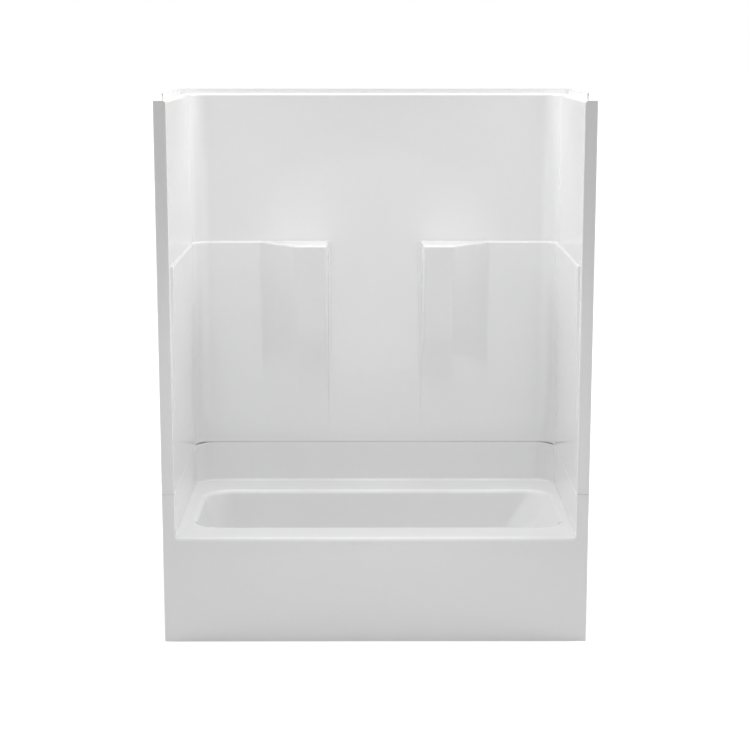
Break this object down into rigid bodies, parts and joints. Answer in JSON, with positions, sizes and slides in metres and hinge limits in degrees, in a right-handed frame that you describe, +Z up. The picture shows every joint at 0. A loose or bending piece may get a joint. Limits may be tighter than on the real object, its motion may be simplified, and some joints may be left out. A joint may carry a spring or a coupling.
{
  "type": "tub and shower unit",
  "caption": "Alcove bathtub with flat apron, bolted under a moulded three-wall shower surround with corner shelves; nails to the studs.",
  "frame": {"origin": "on the floor, under the middle of the unit's bounding box", "axes": "+Z up; +Y from the apron to the back wall; +X to the right, seen from in front of the apron"},
  "size_m": [1.524, 0.813, 1.957],
  "materials": {
    "gelcoat": "glossy white gelcoat over glass-fibre laminate",
    "gasket": "matt white closed-cell strip",
    "zinc": "bright zinc plate",
    "foam": "rigid cellular foam",
    "plywood": "bare plywood",
    "timber": "sawn softwood"
  },
  "bodies": {
    "root": {"apron_board": "plywood", "apron_rail": "timber", "back_deck_rail": "timber", "back_leg_left": "timber", "back_leg_right": "timber", "bearer_centre": "timber", "bearer_left": "timber", "bearer_right": "timber", "bearer_screws": "zinc", "centre_rib": "timber", "floor_bedding": "foam", "floor_board": "plywood", "front_deck_rail": "timber", "grab_rail_board": "plywood", "joint_bolts": "zinc", "joint_gasket": "gasket", "joint_nuts": "zinc", "joint_washers": "zinc", "left_apron_post": "timber", "left_end_rail": "timber", "left_jamb_batten": "timber", "right_apron_post": "timber", "right_jamb_batten": "timber", "shelf_board_left": "plywood", "shelf_board_right": "plywood", "shower_arm_board": "plywood", "tub_shell": "gelcoat", "upper_rib_left": "timber", "upper_rib_right": "timber", "valve_board": "plywood", "wall_surround": "gelcoat"}
  },
  "joints": []
}
